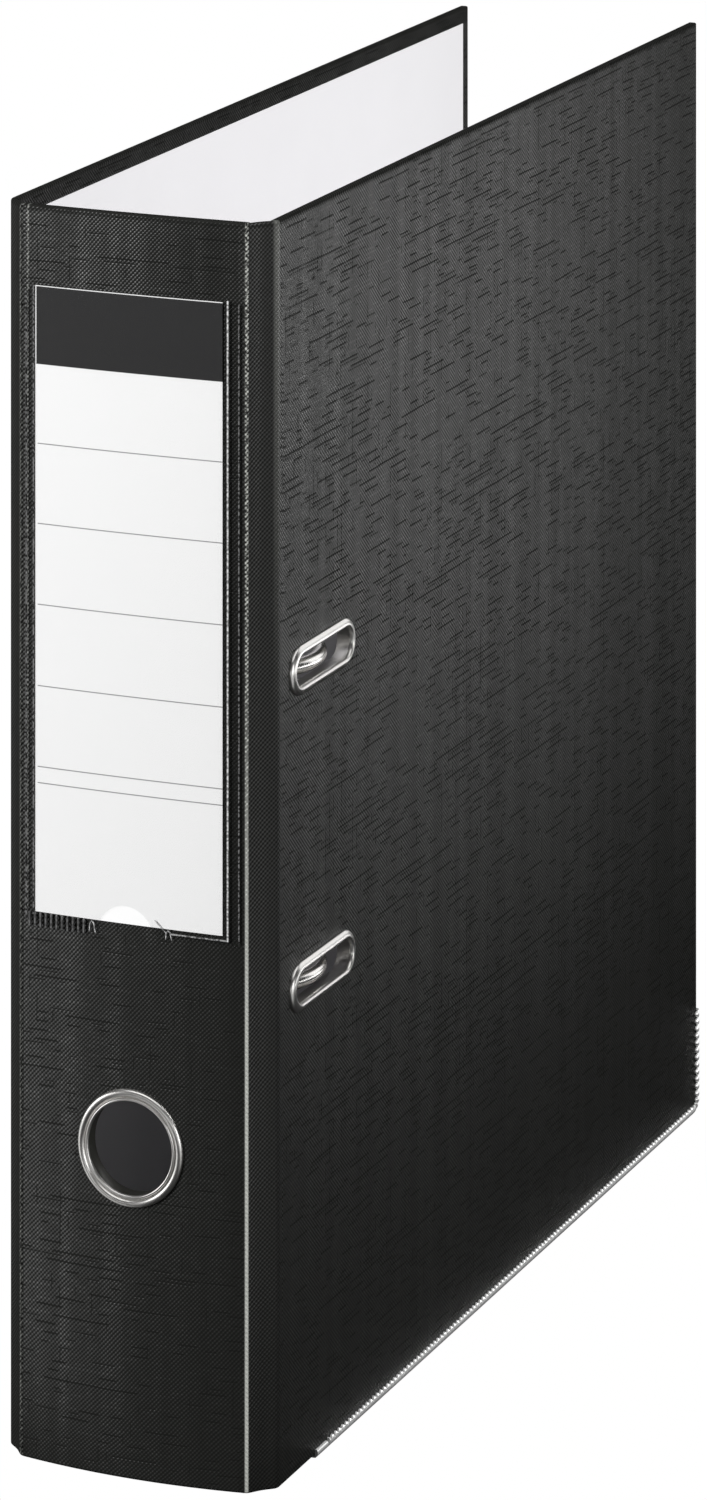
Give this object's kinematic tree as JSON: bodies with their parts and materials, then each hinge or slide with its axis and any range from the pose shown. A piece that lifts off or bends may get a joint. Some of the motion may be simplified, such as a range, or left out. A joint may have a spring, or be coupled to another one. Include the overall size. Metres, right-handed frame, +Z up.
{
  "type": "lever arch file",
  "caption": "A4 lever arch ring binder standing on its edge: hinged covered-board case, spine label pocket, finger ring, and a lever-operated arch mechanism inside.",
  "frame": {"origin": "middle of the footprint at the height of the surface the binder stands on", "axes": "+Z up along the spine, -Y out of the spine, +X out of the front cover, -X out of the back cover that carries the mechanism"},
  "size_m": [0.0776, 0.2876, 0.3185],
  "materials": {
    "black_foil": "black embossed plastic foil with a fine linen weave",
    "grey_board": "grey board core, seen only at cut edges",
    "white_lining": "smooth white lining paper, satin",
    "label_card": "printed card, white with a dark header band and thin grey rules",
    "clear_film": "clear soft film, glossy",
    "nickel": "bright nickel plate",
    "rail_steel": "zinc plated sheet steel, serrated edge",
    "mechanism_steel": "nickel plated sheet steel",
    "black_plastic": "black moulded plastic"
  },
  "bodies": {
    "spine": {"spine_wrap": "black_foil", "spine_board": "grey_board", "spine_lining": "white_lining", "label_pocket": "clear_film", "finger_ring": "nickel", "finger_ring_backing": "nickel"},
    "label": {"spine_label": "label_card"},
    "front_hinge": {"front_hinge_strip": "black_foil"},
    "front_cover": {"front_wrap": "black_foil", "front_board": "grey_board", "front_lining": "white_lining", "slot_eyelet_upper": "nickel", "slot_eyelet_lower": "nickel", "slot_backing_upper": "nickel", "slot_backing_lower": "nickel", "front_edge_rail": "rail_steel"},
    "back_hinge": {"back_hinge_strip": "black_foil"},
    "back_cover": {"back_wrap": "black_foil", "back_board": "grey_board", "back_lining": "white_lining", "back_edge_rail": "rail_steel", "base_plate": "mechanism_steel", "mechanism_rivet_1": "nickel", "mechanism_rivet_2": "nickel", "mechanism_rivet_3": "nickel", "mechanism_rivet_4": "nickel", "post_upper": "nickel", "post_lower": "nickel", "shaft_keeper_upper": "mechanism_steel", "shaft_keeper_lower": "mechanism_steel", "arch_spring": "mechanism_steel", "lever_bracket": "mechanism_steel", "lever_pivot_pin": "nickel"},
    "arch": {"arch_wire": "nickel"},
    "lever": {"lever_arm": "mechanism_steel", "roller_axle": "nickel"},
    "roller": {"lever_roller": "black_plastic"},
    "compressor": {"compressor_bar": "mechanism_steel", "compressor_grip_upper": "black_plastic", "compressor_grip_lower": "black_plastic"}
  },
  "joints": [
    {"name": "front_cover_swing", "type": "hinge", "parent": "front_hinge", "child": "front_cover", "pos_m": [0.0379, -0.13595, 0.1595], "axis": [0, 0, -1], "range_deg": [0, 90]},
    {"name": "front_hinge_fold", "type": "hinge", "parent": "spine", "child": "front_hinge", "pos_m": [0.0319, -0.14155, 0.1595], "axis": [0, 0, -1], "range_deg": [0, 90]},
    {"name": "back_cover_swing", "type": "hinge", "parent": "back_hinge", "child": "back_cover", "pos_m": [-0.0379, -0.13595, 0.1595], "axis": [0, 0, 1], "range_deg": [0, 90]},
    {"name": "back_hinge_fold", "type": "hinge", "parent": "spine", "child": "back_hinge", "pos_m": [-0.0319, -0.14155, 0.1595], "axis": [0, 0, 1], "range_deg": [0, 90]},
    {"name": "lever_lift", "type": "hinge", "parent": "back_cover", "child": "lever", "pos_m": [-0.01868, -0.10955, 0.175], "axis": [0, 1, 0], "range_deg": [0, 90]},
    {"name": "arch_open", "type": "hinge", "parent": "back_cover", "child": "arch", "pos_m": [-0.03008, -0.12705, 0.162], "axis": [0, 0, -1], "range_deg": [0, 7.2]},
    {"name": "roller_spin", "type": "hinge", "parent": "lever", "child": "roller", "pos_m": [-0.02409, -0.10955, 0.17645], "axis": [0, 1, 0], "continuous": true},
    {"name": "compressor_slide", "type": "slide", "parent": "back_cover", "child": "compressor", "axis": [1, 0, 0], "range_m": [0, 0.03]},
    {"name": "label_slide", "type": "slide", "parent": "spine", "child": "label", "axis": [0, 0, 1], "range_m": [0, 0.165]}
  ],
  "couplings": [
    {"joint": "front_hinge_fold", "follows": "front_cover_swing", "ratio": 1},
    {"joint": "back_hinge_fold", "follows": "back_cover_swing", "ratio": 1},
    {"joint": "arch_open", "follows": "lever_lift", "ratio": 0.08}
  ]
}
